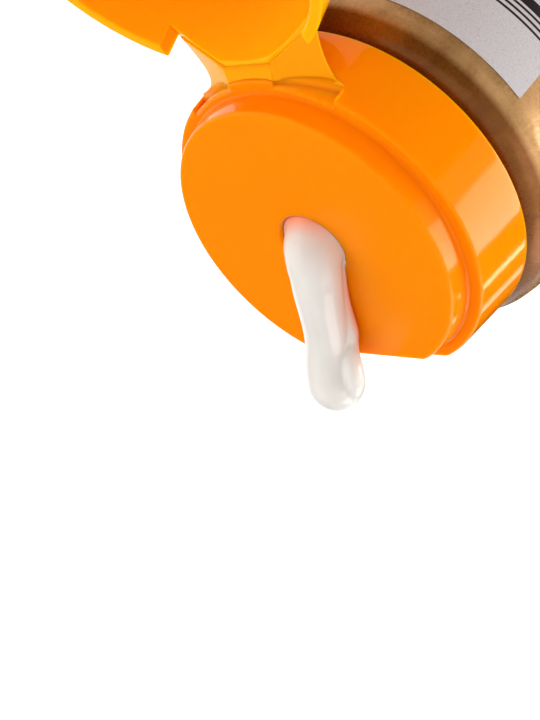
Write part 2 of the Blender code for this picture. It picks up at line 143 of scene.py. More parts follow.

# %% [markdown]
# ## Orange polypropylene
# Flip-top closures are injection-moulded from polypropylene, because it can be folded at a living
# hinge for years. Moulded in a polished tool it is glossy, and being milky rather than opaque it lets
# light a few millimetres in, so thin edges glow. Subsurface scattering gives that. Its level faces
# are finely frosted in the tool, and a faint waviness in the bump is the shrinkage that every such
# moulding has. The lid with its plug, and the hinge, get lighter, yellower copies of the orange:
# painted light, for the light that their thin walls let through from behind. The hinge's skin is
# too thin for light to spread in it.

# %% Orange polypropylene
DRIFT_WIDTH = 9 * MM
SHRINK_WIDTH = 2.2 * MM
SHRINK_DEPTH = 0.05 * MM
# The upward share of a face's normal where the frost starts and where it is full.
FROST_FROM, FROST_TO = 0.90, 0.99
POLISHED, FROSTED = 0.1, 0.26


def moulded_polypropylene(name, dark, light, reach, shine=0.2):
    """The plastic in a colour range, with how far light goes into it."""
    material, tree, shader, place = finish(name)
    drift = node(
        tree, "ShaderNodeTexNoise", {"Vector": place, "Scale": 1 / DRIFT_WIDTH, "Detail": 2.0}
    )
    tint = node(tree, "ShaderNodeValToRGB", {"Fac": drift.outputs["Fac"]})
    tint.color_ramp.elements[0].color = paint(dark)
    tint.color_ramp.elements[1].color = paint(light)
    shrink = node(
        tree, "ShaderNodeTexNoise", {"Vector": place, "Scale": 1 / SHRINK_WIDTH, "Detail": 1.0}
    )
    bump = node(
        tree,
        "ShaderNodeBump",
        {"Height": shrink.outputs["Fac"], "Strength": 0.12, "Distance": SHRINK_DEPTH},
    )
    normal = node(tree, "ShaderNodeTexCoord").outputs["Normal"]
    facing = node(tree, "ShaderNodeSeparateXYZ", {"Vector": normal})
    frost = node(
        tree,
        "ShaderNodeMapRange",
        {
            "Value": facing.outputs["Z"], "From Min": FROST_FROM, "From Max": FROST_TO,
            "To Min": POLISHED, "To Max": FROSTED,
        },
    )
    join(tree, shader, {
        "Base Color": tint.outputs["Color"],
        "Normal": bump.outputs["Normal"],
        "Roughness": frost.outputs["Result"],
        "IOR": 1.49,
        "Specular IOR Level": shine,
        "Specular Tint": paint("#FFC080"),
        "Subsurface Weight": 0.8,
        "Subsurface Radius": (0.9, 0.45, 0.02),
        "Subsurface Scale": reach,
    })
    return material


polypropylene = moulded_polypropylene(
    "orange_moulded_polypropylene", "#FF8100", "#FF8603", reach=3.0 * MM
)
# These two copies are lighter and yellower: painted light for what their thin walls let through.
lid_painted_light = moulded_polypropylene(
    "orange_lid_painted_light_polypropylene", "#FFA80A", "#FFAD0E", reach=2.0 * MM
)
hinge_painted_light = moulded_polypropylene(
    "orange_hinge_painted_light_polypropylene", "#FF9A0A", "#FFA010", reach=0.4 * MM, shine=0.07
)
print("made", polypropylene.name, lid_painted_light.name, hinge_painted_light.name)

# %% [markdown]
# ## Pearly bottle
# The bottle is polyethylene with mica flakes in it, blown in a mould. The flakes lie in swirls where
# the plastic flowed, so the brown drifts between gold and dark, and they shine like a soft metal
# under the clear skin. A part-metallic base under a coat, with stretched noise, gives that. A band
# of the shoulder next to the closure is painted a deeper brown, as painted shade from the closure.

# %% Pearly bottle
SWIRL_WIDTH = 3.5 * MM
SWIRL_DEPTH = 0.25 * MM
# Real mica flakes are finer, but they are drawn this coarse so that they show.
FLAKE_WIDTH = 0.35 * MM
# The shares of the swirl's noise that are full dark and full light.
DARK_AT, LIGHT_AT = 0.32, 0.70
# The roughness of the shiniest and of the dullest flakes.
FLAKE_SHINY, FLAKE_DULL = 0.22, 0.36
# The heights where the painted shade on the shoulder starts and where it is full.
SHOULDER_SHADE_FROM, SHOULDER_SHADE_TO = BODY_TOP - 2.45 * MM, BODY_TOP - 1.85 * MM
# A Mix node's colour sockets share their names with its number sockets, so they go by their place.
MIX_A, MIX_B, MIX_RESULT = 6, 7, 2


def pearly_polyethylene():
    """The bottle's plastic, with its mica swirls and painted shade on its shoulder."""
    material, tree, shader, place = finish("pearly_brown_polyethylene")
    flow = node(tree, "ShaderNodeMapping", {"Vector": place, "Scale": (1, 1, 0.45)})
    swirl = node(
        tree,
        "ShaderNodeTexNoise",
        {
            "Vector": flow.outputs["Vector"], "Scale": 1 / SWIRL_WIDTH, "Detail": 8.0,
            "Roughness": 0.62, "Distortion": 0.8,
        },
    )
    wall = node(tree, "ShaderNodeValToRGB", {"Fac": swirl.outputs["Fac"]})
    # The second ramp is painted shade: a darker brown for the shoulder under the closure.
    painted_shade = node(tree, "ShaderNodeValToRGB", {"Fac": swirl.outputs["Fac"]})
    for ramp, dark, light in ((wall, "#996F3E", "#BB8F5E"), (painted_shade, "#68390A", "#7C4B13")):
        low, high = ramp.color_ramp.elements
        low.position = DARK_AT
        low.color = paint(dark)
        high.position = LIGHT_AT
        high.color = paint(light)
    parts = node(tree, "ShaderNodeSeparateXYZ", {"Vector": place})
    shoulder_shade_mask = node(
        tree,
        "ShaderNodeMapRange",
        {"Value": parts.outputs["Z"], "From Min": SHOULDER_SHADE_FROM, "From Max": SHOULDER_SHADE_TO},
    )
    brown = node(
        tree,
        "ShaderNodeMix",
        {
            "Factor": shoulder_shade_mask.outputs["Result"],
            MIX_A: wall.outputs["Color"], MIX_B: painted_shade.outputs["Color"],
        },
        data_type="RGBA",
    )
    flake = node(
        tree, "ShaderNodeTexNoise", {"Vector": place, "Scale": 1 / FLAKE_WIDTH, "Detail": 2.0}
    )
    shine = node(
        tree,
        "ShaderNodeMapRange",
        {
            "Value": flake.outputs["Fac"], "From Min": 0.35, "From Max": 0.65,
            "To Min": FLAKE_SHINY, "To Max": FLAKE_DULL,
        },
    )
    bump = node(
        tree,
        "ShaderNodeBump",
        {"Height": swirl.outputs["Fac"], "Strength": 0.25, "Distance": SWIRL_DEPTH},
    )
    join(tree, shader, {
        "Base Color": brown.outputs[MIX_RESULT],
        "Roughness": shine.outputs["Result"],
        "Normal": bump.outputs["Normal"],
        "Metallic": 0.4,
        "Specular IOR Level": 0.2,
        "IOR": 1.51,
        "Coat Weight": 0.1,
        "Coat Roughness": 0.1,
    })
    return material


pearl = pearly_polyethylene()
print("made", pearl.name)

# %% [markdown]
# ## Label film
# The label is a matte white film, printed light grey. Fine specks are the print's own grain. A block
# of plain dark bars stands where a barcode goes. They are a generic row of bars and carry no data.
# Bars could be modelled or read from an image, but a colour ramp that is cut into steps needs
# neither and stays sharp. The block is masked by the height on the bottle and by the turn about the
# bottle's axis.

# %% Label film
SPECK_WIDTH = 0.14 * MM
# The shares of the grain's noise that are full speck and plain film.
SPECK_AT, PLAIN_AT = 0.30, 0.52
BARS_TOP = SKIRT_FOOT - 10.60 * MM
BARS_DEPTH = 24 * MM
BARS_FROM, BARS_TO = math.radians(22), math.radians(104)
# The bars, and the gap after each, from the block's top edge down, in millimetres.
BAR_WIDTHS = [0.28, 0.26, 0.28, 1.10, 0.33, 0.66, 0.33, 0.99, 0.66, 0.33, 0.33, 0.66, 0.33, 0.47]
BAR_GAPS = [0.36, 0.34, 0.34, 0.45, 0.40, 0.33, 0.66, 0.40, 0.33, 0.99, 0.33, 0.40, 0.66, 0.33]
INKED, BARE = (1, 1, 1, 1), (0, 0, 0, 1)


def bar_stops(ramp):
    """Cuts a colour ramp into bars and gaps, from the block's top edge down."""
    ramp.interpolation = "CONSTANT"
    ramp.elements[0].color = INKED
    ramp.elements[1].position = 1
    ramp.elements[1].color = BARE
    depth = 0.0
    for width, gap in zip(BAR_WIDTHS, BAR_GAPS):
        if depth:
            ramp.elements.new(depth * MM / BARS_DEPTH).color = INKED
        ramp.elements.new((depth + width) * MM / BARS_DEPTH).color = BARE
        depth += width + gap


def printed_film():
    """The label's film, with its grain and its block of bars."""
    material, tree, shader, place = finish("matte_printed_label_film")
    parts = node(tree, "ShaderNodeSeparateXYZ", {"Vector": place})
    down = node(
        tree,
        "ShaderNodeMapRange",
        {"Value": parts.outputs["Z"], "From Min": BARS_TOP, "From Max": BARS_TOP - BARS_DEPTH},
    )
    inked = node(tree, "ShaderNodeValToRGB", {"Fac": down.outputs["Result"]})
    bar_stops(inked.color_ramp)
    turn = node(
        tree, "ShaderNodeMath", {0: parts.outputs["Y"], 1: parts.outputs["X"]}, operation="ARCTAN2"
    )
    # Each test is 1 inside the block, so the bars are multiplied by all three.
    tests = (
        (parts.outputs["Z"], "LESS_THAN", BARS_TOP),
        (turn.outputs[0], "GREATER_THAN", BARS_FROM),
        (turn.outputs[0], "LESS_THAN", BARS_TO),
    )
    masked = inked.outputs["Color"]
    for value, operation, limit in tests:
        test = node(tree, "ShaderNodeMath", {0: value, 1: limit}, operation=operation)
        masked = node(
            tree, "ShaderNodeMath", {0: test.outputs[0], 1: masked}, operation="MULTIPLY"
        ).outputs[0]
    speck = node(
        tree, "ShaderNodeTexNoise", {"Vector": place, "Scale": 1 / SPECK_WIDTH, "Detail": 3.0}
    )
    grain = node(tree, "ShaderNodeValToRGB", {"Fac": speck.outputs["Fac"]})
    low, high = grain.color_ramp.elements
    low.position = SPECK_AT
    low.color = paint("#A29A9B")
    high.position = PLAIN_AT
    high.color = paint("#B7B0B0")
    printed = node(
        tree,
        "ShaderNodeMix",
        {"Factor": masked, MIX_A: grain.outputs["Color"], MIX_B: paint("#1C1113")},
        data_type="RGBA",
    )
    join(tree, shader, {
        "Base Color": printed.outputs[MIX_RESULT],
        "Roughness": 0.55,
        "Specular IOR Level": 0.3,
        "IOR": 1.5,
    })
    return material


label_film = printed_film()
print("made", label_film.name, "with", len(BAR_WIDTHS), "bars")

# %% [markdown]
# ## Lotion
# Lotion is an emulsion: light goes a millimetre or two into it before it comes back, so it looks soft
# and creamy, and its wet skin is glossy. It is white. Where it lies low on the closure its colour is
# mixed towards orange: painted light and shade for the orange that the closure bounces and reflects
# onto it, and partly the orange showing through where it is thin. Over the middle of the orifice it
# is deep and stays white, so the orange is kept to what lies low and also away from there.

# %% Lotion
CLOUD_WIDTH = 3 * MM
# The painted orange light shows below the first height, and most at the second.
PAINTED_BOUNCE_FROM, PAINTED_BOUNCE_TO = DECK + 1.7 * MM, DECK + 0.1 * MM
# It shows only beyond the first distance from the well's middle, and fully from the second on.
AWAY_FROM, AWAY_TO = 2.0 * MM, 3.8 * MM
# The lotion wells up this far in front of the bottle's axis.
WELL_FORWARD = 0.5 * MM


def wet_lotion():
    """White cream, with painted orange light where it lies low on the closure."""
    material, tree, shader, place = finish("wet_white_lotion")
    cloud = node(
        tree, "ShaderNodeTexNoise", {"Vector": place, "Scale": 1 / CLOUD_WIDTH, "Detail": 2.0}
    )
    tint = node(tree, "ShaderNodeValToRGB", {"Fac": cloud.outputs["Fac"]})
    tint.color_ramp.elements[0].color = paint("#D4CFC8")
    tint.color_ramp.elements[1].color = paint("#DCD8D2")
    parts = node(tree, "ShaderNodeSeparateXYZ", {"Vector": place})
    low = node(
        tree,
        "ShaderNodeMapRange",
        {"Value": parts.outputs["Z"], "From Min": PAINTED_BOUNCE_FROM, "From Max": PAINTED_BOUNCE_TO, "To Max": 0.8},
    )
    offset = node(
        tree, "ShaderNodeMath", {0: parts.outputs["Y"], 1: WELL_FORWARD}, operation="ADD"
    )
    offset = node(tree, "ShaderNodeMath", {0: offset.outputs[0]}, operation="ABSOLUTE")
    away = node(
        tree,
        "ShaderNodeMapRange",
        {"Value": offset.outputs[0], "From Min": AWAY_FROM, "From Max": AWAY_TO},
    )
    # The orange mixed in by this share is painted bounce light and reflection from the closure.
    painted_bounce = node(
        tree,
        "ShaderNodeMath",
        {0: low.outputs["Result"], 1: away.outputs["Result"]},
        operation="MULTIPLY",
    )
    bounce_tinted = node(
        tree,
        "ShaderNodeMix",
        {"Factor": painted_bounce.outputs[0], MIX_A: tint.outputs["Color"], MIX_B: paint("#F08A5C")},
        data_type="RGBA",
    )
    join(tree, shader, {
        "Base Color": bounce_tinted.outputs[MIX_RESULT],
        "Roughness": 0.16,
        "IOR": 1.40,
        "Subsurface Weight": 0.6,
        "Subsurface Radius": (1.0, 0.92, 0.84),
        "Subsurface Scale": 1.2 * MM,
    })
    return material


lotion = wet_lotion()
print("made", lotion.name)

# %% [markdown]
# ## Helpers for shapes
# Nearly every piece here is round, so it starts as half of its cross-section, a line of corners that
# is spun about the bottle's axis. A corner carries how far its rounding reaches, and a vertex bevel
# makes the rounding, as a toolmaker would. The last helper shades a piece smooth and rounds the
# edges that a cut left.

# %% Helpers for shapes
ROUND_STEPS = 192
ROUNDING_SEGMENTS = 5
MERGE_WITHIN = 0.002 * MM


def spun(outline, closed=False, steps=ROUND_STEPS):
    """Spins a line of (radius, height, rounding) corners about the bottle's axis."""
    shape = bmesh.new()
    corners = [shape.verts.new((radius, 0, height)) for radius, height, _ in outline]
    for first, second in zip(corners, corners[1:]):
        shape.edges.new((first, second))
    if closed:
        shape.edges.new((corners[-1], corners[0]))
    for corner, (_, _, rounding) in zip(corners, outline):
        if rounding:
            bmesh.ops.bevel(
                shape, geom=[corner], offset=rounding, offset_type="OFFSET", affect="VERTICES",
                segments=ROUNDING_SEGMENTS, profile=0.5, material=-1,
            )
    bmesh.ops.spin(
        shape, geom=shape.verts[:] + shape.edges[:], cent=(0, 0, 0), axis=(0, 0, 1),
        dvec=(0, 0, 0), angle=2 * math.pi, steps=steps, use_merge=True,
    )
    bmesh.ops.remove_doubles(shape, verts=shape.verts, dist=MERGE_WITHIN)
    bmesh.ops.recalc_face_normals(shape, faces=shape.faces)
    return shape


def as_object(name, shape, material=None):
    """Turns a bmesh into an object at the origin."""
    mesh = bpy.data.meshes.new(name)
    shape.to_mesh(mesh)
    shape.free()
    made = bpy.data.objects.new(name, mesh)
    bpy.context.scene.collection.objects.link(made)
    if material is not None:
        mesh.materials.append(material)
    return made


def settle(piece):
    """Applies a piece's modifiers."""
    bpy.context.view_layer.update()
    seen = piece.evaluated_get(bpy.context.evaluated_depsgraph_get())
    mesh = bpy.data.meshes.new_from_object(seen)
    piece.modifiers.clear()
    piece.data = mesh


def smooth(piece, sharp=40, edge=0.0):
    """Shades a piece smooth, and rounds the edges that a cut left sharp."""
    if edge:
        bevel = piece.modifiers.new("edges", "BEVEL")
        bevel.width = edge
        bevel.segments = 3
        bevel.limit_method = "ANGLE"
        bevel.angle_limit = math.radians(sharp)
        bevel.use_clamp_overlap = False
        settle(piece)
    piece.data.shade_smooth()
    piece.data.set_sharp_from_angle(angle=math.radians(sharp))
    even = piece.modifiers.new("even_shading", "WEIGHTED_NORMAL")
    even.keep_sharp = True
    settle(piece)
    return piece


print("helpers ready, a full turn has", ROUND_STEPS, "steps")

# %% [markdown]
# ## Bottle body
# A blow-moulded bottle has one even wall, a soft shoulder and a base whose ring lets it stand. The
# spun outline runs up the inside, over the neck, and down the outside.

# %% Bottle body
BODY_BORE = 18.1 * MM
NECK_BORE = 9.8 * MM
NECK_RADIUS = 10.9 * MM
NECK_TOP = 142.5 * MM
INNER_FLOOR = 1.6 * MM
INNER_SHOULDER = 133.0 * MM
BASE_RISE = 0.5 * MM
bottle_outline = [
    (0, INNER_FLOOR, 0),
    (BODY_BORE, INNER_FLOOR, 2 * MM),
    (BODY_BORE, INNER_SHOULDER, 3.2 * MM),
    (NECK_BORE, INNER_SHOULDER, 0.6 * MM),
    (NECK_BORE, NECK_TOP, 0.2 * MM),
    (NECK_RADIUS, NECK_TOP, 0.3 * MM),
    (NECK_RADIUS, BODY_TOP, 0.4 * MM),
    (BODY_RADIUS, BODY_TOP, 4.2 * MM),
    (BODY_RADIUS, 0, 3.0 * MM),
    (13.1 * MM, 0, 0.4 * MM),
    (12.6 * MM, BASE_RISE, 0.3 * MM),
    (6.0 * MM, BASE_RISE, 0.3 * MM),
    (5.5 * MM, 0, 0.3 * MM),
    (0, 0, 0),
]
bottle = smooth(as_object("pearly_bottle", spun(bottle_outline), pearl))
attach(bottle, "bottle")
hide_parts("bottle_body")
print("bottle", len(bottle.data.polygons), "faces")

# %% [markdown]
# ## Labels
# A label is a strip of film wrapped on the body with a hair of thickness, so it starts as an upright
# edge that is spun through its own arc and is then given a wall. Its corners are cut square.

# %% Labels
LABEL_FOOT = 11.0 * MM
LABEL_HEAD = BODY_TOP - 4.05 * MM
LABEL_TURN = math.radians(143)
LABEL_GAP = 0.02 * MM
LABEL_WALL = 0.05 * MM


def wrapped_label(name, facing):
    """A label whose middle faces this way."""
    strip = bmesh.new()
    low = strip.verts.new((BODY_RADIUS + LABEL_GAP, 0, LABEL_FOOT))
    high = strip.verts.new((BODY_RADIUS + LABEL_GAP, 0, LABEL_HEAD))
    upright = strip.edges.new((low, high))
    bmesh.ops.rotate(
        strip, verts=strip.verts, cent=(0, 0, 0),
        matrix=Matrix.Rotation(facing - LABEL_TURN / 2, 3, "Z"),
    )
    bmesh.ops.spin(
        strip, geom=[low, high, upright], cent=(0, 0, 0), axis=(0, 0, 1), dvec=(0, 0, 0),
        angle=LABEL_TURN, steps=ROUND_STEPS // 2, use_merge=False,
    )
    label = as_object(name, strip, label_film)
    wall = label.modifiers.new("film", "SOLIDIFY")
    wall.thickness = LABEL_WALL
    first_face = label.data.polygons[0]
    wall.offset = 1 if first_face.normal.dot(first_face.center) > 0 else -1
    settle(label)
    fix = bmesh.new()
    fix.from_mesh(label.data)
    bmesh.ops.recalc_face_normals(fix, faces=fix.faces)
    fix.to_mesh(label.data)
    fix.free()
    smooth(label)
    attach(label, "bottle")
    return label


back_label = wrapped_label("printed_back_label", math.radians(90))
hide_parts("back_label")
front_label = wrapped_label("bare_front_label", math.radians(-90))
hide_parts("front_label")
label_reach = max(corner.co.xy.length for corner in back_label.data.vertices)
print("labels reach", round(label_reach / MM, 2), "mm out")

# %% [markdown]
# ## Closure base
# The closure's base is one moulding: a skirt that flares a little for the draft, the ledge that the
# lid shuts on, the raised deck with its orifice, and a spout, a seal and a collar underneath. It is
# spun first. The thumb recess and the hinge notches are cut afterwards, as slides in the mould would.

# %% Closure base
DECK_RADIUS = 15.3 * MM
SKIRT_RADIUS = 17.5 * MM
ORIFICE_RADIUS = 3.5 * MM
SPOUT_RADIUS = 4.6 * MM
SPOUT_FOOT = 139.5 * MM
SEAL_BORE, SEAL_RADIUS = 8.7 * MM, 9.5 * MM
SEAL_FOOT = 140.8 * MM
COLLAR_BORE, COLLAR_RADIUS = 12.0 * MM, 13.1 * MM
COLLAR_FOOT = 135.1 * MM
BEAD_BORE = 11.2 * MM
BEAD_FOOT, BEAD_TOP = 135.9 * MM, 136.1 * MM
UNDER_DECK = 142.8 * MM
UNDER_LEDGE = 140.2 * MM
cap_outline = [
    (ORIFICE_RADIUS, DECK, 0.5 * MM),
    (5.0 * MM, DECK, 0),
    (12.6 * MM, DECK, 0),
    (DECK_RADIUS - 1.2 * MM, DECK, 0),
    (DECK_RADIUS - 0.05 * MM, DECK, 0.35 * MM),
    (DECK_RADIUS + 0.25 * MM, LEDGE, 0.3 * MM),
    (LEDGE_RADIUS, LEDGE, 0.3 * MM),
    (17.08 * MM, 139.4 * MM, 0),
    (17.13 * MM, 138.8 * MM, 0),
    (17.45 * MM, SKIRT_FOOT + 0.6 * MM, 0),
    (SKIRT_RADIUS, SKIRT_FOOT, 0.12 * MM),
    (16.3 * MM, SKIRT_FOOT, 0.1 * MM),
    (15.7 * MM, UNDER_LEDGE, 0.2 * MM),
    (COLLAR_RADIUS, UNDER_LEDGE, 0.2 * MM),
    (COLLAR_RADIUS, COLLAR_FOOT, 0.1 * MM),
    (COLLAR_BORE, COLLAR_FOOT, 0.1 * MM),
    (BEAD_BORE, BEAD_FOOT, 0.1 * MM),
    (BEAD_BORE, BEAD_TOP, 0.05 * MM),
    (COLLAR_BORE, BEAD_TOP, 0.05 * MM),
    (COLLAR_BORE, UNDER_DECK, 0.1 * MM),
    (SEAL_RADIUS, UNDER_DECK, 0.1 * MM),
    (SEAL_RADIUS, SEAL_FOOT, 0.1 * MM),
    (SEAL_BORE, SEAL_FOOT, 0.1 * MM),
    (SEAL_BORE, UNDER_DECK, 0.1 * MM),
    (SPOUT_RADIUS, UNDER_DECK, 0.2 * MM),
    (SPOUT_RADIUS, SPOUT_FOOT, 0.1 * MM),
    (ORIFICE_RADIUS, SPOUT_FOOT, 0.1 * MM),
]
closure = as_object("closure_base", spun(cap_outline, closed=True), polypropylene)
print("closure base", len(closure.data.polygons), "faces before its cuts")

# %% [markdown]
# ## Thumb recess
# Under the lid's front edge a thumb finds a recess in the skirt and a flat on the deck. The skirt is
# thin, so the recess has a wall of its own behind it: a plug that fills the skirt, cut back to a
# slice at the front and joined on. Then one box cuts the recess and another cuts the flat. The cuts
# are booleans, because their flat faces cross the round ones that were spun.


# %% Thumb recess
def block(x_span, y_span, z_span):
    """A box between these limits, to cut with or to start from."""
    shape = bmesh.new()
    bmesh.ops.create_cube(shape, size=1)
    spans = (x_span, y_span, z_span)
    bmesh.ops.scale(shape, verts=shape.verts, vec=[high - low for low, high in spans])
    bmesh.ops.translate(shape, verts=shape.verts, vec=[(high + low) / 2 for low, high in spans])
    return shape


def combine(piece, tool, operation="DIFFERENCE"):
    """Cuts a tool's shape out of a piece, or joins it on, and throws the tool away."""
    boolean = piece.modifiers.new(operation, "BOOLEAN")
    boolean.operation = operation
    boolean.solver = "EXACT"
    boolean.object = tool
    settle(piece)
    bpy.data.objects.remove(tool, do_unlink=True)


FAR = 20 * MM
FLAT_FRONT = -13.25 * MM
WALL_BACK, WALL_FRONT = -13.9 * MM, -15.0 * MM
WALL_FOOT, WALL_TOP = 135.5 * MM, 140.9 * MM
RECESS_FOOT = 136.6 * MM
wall_outline = [
    (0, WALL_TOP, 0),
    (16.2 * MM, WALL_TOP, 0),
    (16.6 * MM, WALL_FOOT, 0),
    (0, WALL_FOOT, 0),
]
recess_wall = as_object("recess_wall", spun(wall_outline))
room = block((-FAR, FAR), (WALL_BACK, FAR), (SKIRT_FOOT, DECK))
recess = block((-FAR, FAR), (-FAR, WALL_FRONT), (RECESS_FOOT, LEDGE + 1 * MM))
thumb_flat = block((-FAR, FAR), (-FAR, FLAT_FRONT), (LEDGE, DECK + 1 * MM))
combine(recess_wall, as_object("room", room))
combine(closure, recess_wall, "UNION")
combine(closure, as_object("recess", recess))
combine(closure, as_object("thumb_flat", thumb_flat))
smooth(closure, sharp=35, edge=0.05 * MM)
print("closure base", len(closure.data.polygons), "faces before the notches")

# %% [markdown]
# ## Hinge notches
# Beside the living hinge, the skirt and the lid are each cut back in a wedge, so that the two side
# panels of the butterfly hinge have room to fold. Each wedge starts at the film and gets deeper
# outwards. It is a face pushed along Y. The skirt's wedges stop at a cylinder inside it, so that
# they open nothing but the skirt.

# %% Hinge notches
FILM_HALF = 2.8 * MM
NOTCH_HALF = 9.0 * MM
CUT_START = 8 * MM
KEPT_RADIUS = 16.4 * MM
SKIRT_LINE = (141.2 * MM, 139.9 * MM)
SIDES = (1, -1)


def wedge(side, at_film, at_side, far_line):
    """A cutter between a sloping line, from the film's end to the notch's side, and a level one."""
    shape = bmesh.new()
    corners = [
        (side * FILM_HALF, at_film), (side * NOTCH_HALF, at_side),
        (side * NOTCH_HALF, far_line), (side * FILM_HALF, far_line),
    ]
    face = shape.faces.new([shape.verts.new((x, CUT_START, z)) for x, z in corners])
    pushed = bmesh.ops.extrude_face_region(shape, geom=[face])
    ends = [v for v in pushed["geom"] if isinstance(v, bmesh.types.BMVert)]
    bmesh.ops.translate(shape, verts=ends, vec=(0, FAR - CUT_START, 0))
    bmesh.ops.recalc_face_normals(shape, faces=shape.faces)
    return shape


kept_outline = [
    (0, DECK + 1 * MM, 0),
    (KEPT_RADIUS, DECK + 1 * MM, 0),
    (KEPT_RADIUS, SKIRT_FOOT, 0),
    (0, SKIRT_FOOT, 0),
]
for side in SIDES:
    cutter = as_object("notch", wedge(side, *SKIRT_LINE, DECK))
    combine(cutter, as_object("kept_ring", spun(kept_outline)))
    combine(closure, cutter)
smooth(closure, sharp=35)
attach(closure, "bottle")
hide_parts("cap_base")
print("closure base", len(closure.data.polygons), "faces")

# %% [markdown]
# ## Lid
# The lid is moulded open, beside the base, but it is easier to draw where it ends up: shut on the
# ledge. So it is spun in that place, notched, and only then swung open about the hinge.

# %% Lid
HINGE = Vector((0, 17.0 * MM, 141.2 * MM))
OPEN_TURN = math.radians(165.5)
LID_LINE = (LID_RIM, LID_RIM + 2.5 * MM)
LID_CEILING = 150.3 * MM
BAND_FOOT, BAND_TOP = LID_RIM + 2.7 * MM, LID_RIM + 3.3 * MM


def swing_open(piece):
    """Turns a piece that was made on the shut lid to where the open lid carries it."""
    turn = Matrix.Rotation(-OPEN_TURN, 4, "X")
    piece.data.transform(Matrix.Translation(HINGE) @ turn @ Matrix.Translation(-HINGE))


lid_outline = [
    (0, LID_TOP, 0),
    (16.0 * MM, LID_TOP - 0.2 * MM, 1.6 * MM),
    (16.58 * MM, BAND_TOP, 0),
    (16.64 * MM, BAND_FOOT, 0),
    (LEDGE_RADIUS, LID_RIM, 0.3 * MM),
    (15.75 * MM, LID_RIM, 0.3 * MM),
    (15.46 * MM, BAND_FOOT, 0),
    (15.40 * MM, BAND_TOP, 0),
    (14.85 * MM, LID_CEILING, 0.8 * MM),
    (0, LID_CEILING, 0),
]
lid = as_object("hinged_lid", spun(lid_outline), lid_painted_light)
for side in SIDES:
    combine(lid, as_object("notch", wedge(side, *LID_LINE, LID_RIM - 1 * MM)))
smooth(lid, sharp=35)
swing_open(lid)
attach(lid, "lid")
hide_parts("lid_shell")
print("lid", len(lid.data.polygons), "faces")

# %% [markdown]
# ## Plug
# Under the lid a short ring fits into the orifice. Its tip has a lead-in and its root has a fillet
# where it grows out of the lid's ceiling.

# %% Plug
PLUG_RADIUS, PLUG_BORE = 3.2 * MM, 1.9 * MM
PLUG_TIP = 142.9 * MM
PLUG_ROOT = 150.35 * MM
plug_outline = [
    (3.5 * MM, PLUG_ROOT, 0),
    (PLUG_RADIUS, 149.8 * MM, 0.3 * MM),
    (PLUG_RADIUS, 143.3 * MM, 0.15 * MM),
    (2.9 * MM, PLUG_TIP, 0.12 * MM),
    (PLUG_BORE, PLUG_TIP, 0.12 * MM),
    (PLUG_BORE, 149.9 * MM, 0.2 * MM),
    (1.7 * MM, PLUG_ROOT, 0),
]
plug_shape = spun(plug_outline, closed=True, steps=ROUND_STEPS // 2)
plug = smooth(as_object("orifice_plug", plug_shape, lid_painted_light))
swing_open(plug)
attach(plug, "lid")
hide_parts("lid_plug")
print("plug", len(plug.data.polygons), "faces")

# %% [markdown]
# ## Butterfly hinge
# A thin film in the middle carries the turn. On each side of it a stiffer panel spans the two
# notches. The panels bow as the lid turns, and that is what makes the lid jump to its stops. A piece
# starts as a grid, whose points are then laid on the bowed surface, and gets its wall last. The
# surface lies between two curves, each steered by four corners: the edge beside the film and the
# free edge.

# %% Butterfly hinge
PANEL_WALL, FILM_WALL = 0.42 * MM, 0.40 * MM
FILM_OVERLAP = 0.1 * MM
FREE_EDGE = [
    (9.05, 14.50, 139.66), (6.87, 14.87, 138.55), (7.21, 17.29, 138.96), (8.55, 20.70, 138.95)
]
FILM_EDGE = [
    (2.80, 16.45, 141.18), (2.80, 16.85, 141.10), (2.80, 17.25, 140.72), (2.80, 18.05, 140.80)
]


def bent(corners, along):
    """A place on the smooth curve that four corners steer, from its start (0) to its end (1)."""
    first, second, third, last = [Vector(corner) * MM for corner in corners]
    back, ahead = 1 - along, along
    early = back**3 * first + 3 * back**2 * ahead * second
    return early + 3 * back * ahead**2 * third + ahead**3 * last


def panel_place(side, across, along):
    """across runs from the film (0) to the free edge (1), along from the skirt (0) to the lid (1)."""
    place = bent(FILM_EDGE, along).lerp(bent(FREE_EDGE, along), across)
    return Vector((side * place.x, place.y, place.z))


def film_place(across, along):
    """The film lies between both panels, and its line is theirs."""
    edge = bent(FILM_EDGE, along)
    return Vector(((2 * across - 1) * (FILM_HALF + FILM_OVERLAP), edge.y, edge.z))


def hinge_skin_piece(name, places, thickness, node_name):
    """A grid laid on the given places, with its wall and its rounded rim."""
    shape = bmesh.new()
    bmesh.ops.create_grid(shape, x_segments=16, y_segments=32, size=1)
    for corner in shape.verts:
        corner.co = places((corner.co.x + 1) / 2, (corner.co.y + 1) / 2)
    piece = as_object(name, shape, hinge_painted_light)
    wall = piece.modifiers.new("wall", "SOLIDIFY")
    wall.thickness = thickness
    wall.offset = 0
    smooth(piece, sharp=60, edge=0.1 * MM)
    piece.data.set_sharp_from_angle(angle=math.radians(89))
    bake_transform(piece)
    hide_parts(node_name)
    return piece


def hinge_panel(side, word):
    """The panel on one side."""
    return hinge_skin_piece(
        "hinge_panel_" + word + "_wing",
        lambda across, along: panel_place(side, across, along),
        PANEL_WALL,
        "hinge_panel_" + word,
    )


right_panel = hinge_panel(1, "right")
left_panel = hinge_panel(-1, "left")
film = hinge_skin_piece(
    "living_hinge_film",
    film_place,
    FILM_WALL,
    "hinge_film",
)
hinge_faces = [len(piece.data.polygons) for piece in (right_panel, left_panel, film)]
print("hinge pieces", hinge_faces, "faces")

# %% [markdown]
# ## Strands of lotion
# The lotion wells up in the orifice, lies over the deck's thumb flat and ends in a rounded lobe. A
# thinner fold runs down its right side. Each of the two is a strand: a circle whose rim is extruded
# again and again, each time moved to the next place on the strand's middle line and sized to it.
# Metaballs could make such a flow as well, but a strand's width can be set at every place.

